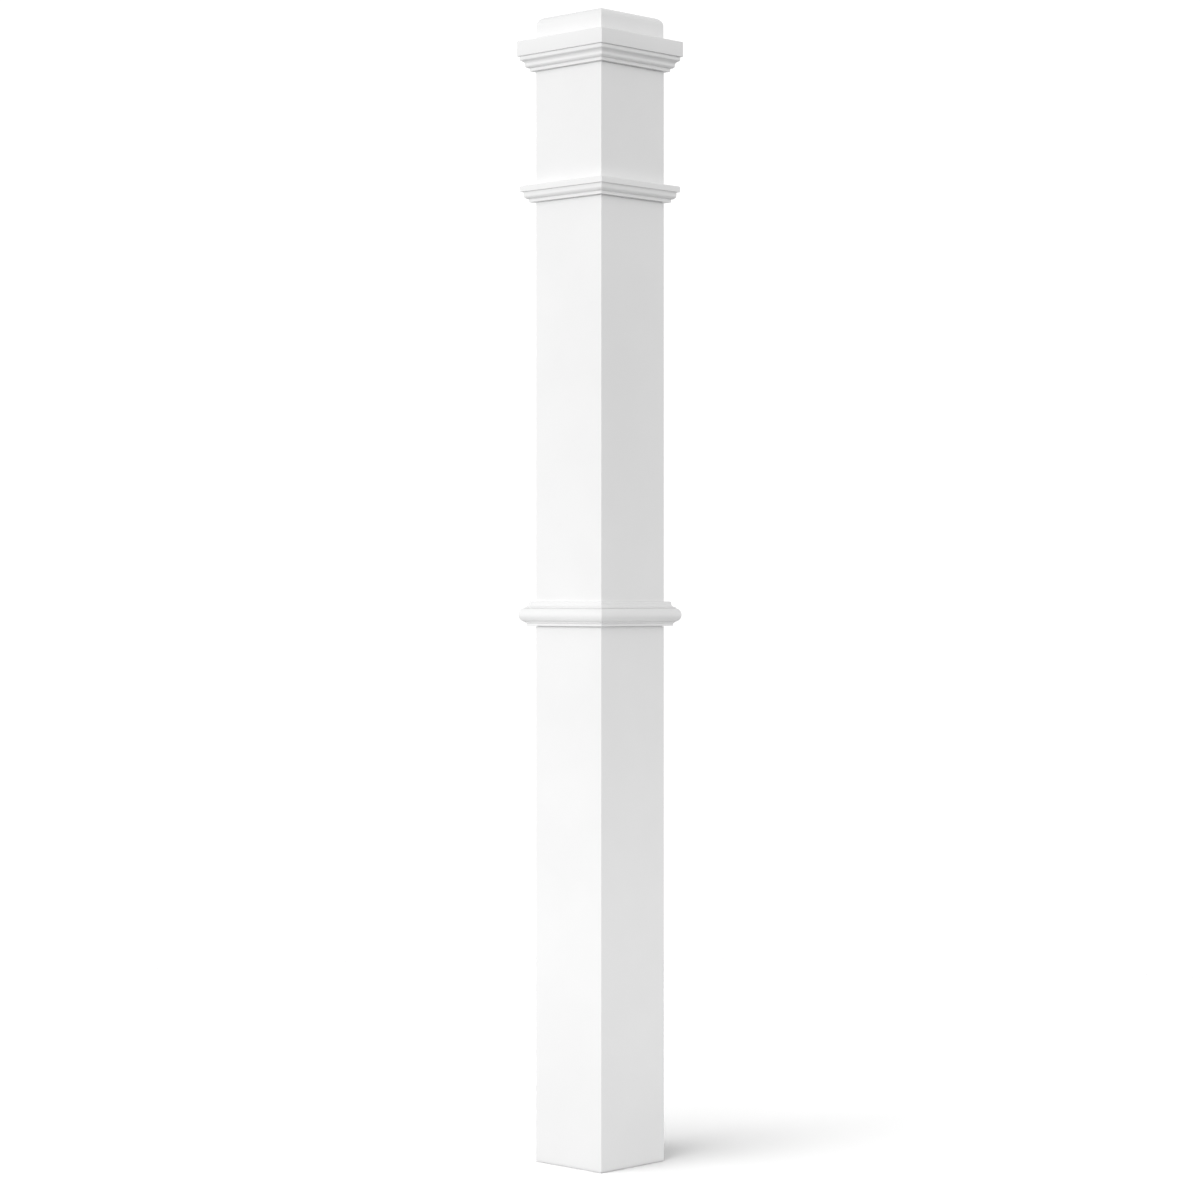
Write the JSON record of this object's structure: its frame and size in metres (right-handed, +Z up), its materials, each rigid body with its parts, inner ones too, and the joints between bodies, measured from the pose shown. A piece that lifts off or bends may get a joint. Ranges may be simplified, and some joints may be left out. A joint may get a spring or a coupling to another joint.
{
  "type": "newel post",
  "caption": "Square box newel post, painted white, with a stepped cap, a crown moulding, a neck moulding and a half-round band; hollow, for the end or turn of a stair rail.",
  "frame": {"origin": "centre of the underside, on the floor", "axes": "+Z up along the shaft; the shaft's four faces look along +X, -X, +Y and -Y"},
  "size_m": [0.1652, 0.1652, 1.6036],
  "materials": {
    "painted_board": "satin white paint over a smooth primed board",
    "painted_moulding": "satin white paint over a milled moulding",
    "painted_cap": "satin white paint over a flat-sawn cap"
  },
  "bodies": {
    "root": {"shaft_board_front": "painted_board", "shaft_board_right": "painted_board", "shaft_board_back": "painted_board", "shaft_board_left": "painted_board", "crown_moulding_front": "painted_moulding", "crown_moulding_right": "painted_moulding", "crown_moulding_back": "painted_moulding", "crown_moulding_left": "painted_moulding", "neck_moulding_front": "painted_moulding", "neck_moulding_right": "painted_moulding", "neck_moulding_back": "painted_moulding", "neck_moulding_left": "painted_moulding", "band_moulding_front": "painted_moulding", "band_moulding_right": "painted_moulding", "band_moulding_back": "painted_moulding", "band_moulding_left": "painted_moulding", "cap_plate": "painted_cap", "cap_block": "painted_cap"}
  },
  "joints": []
}
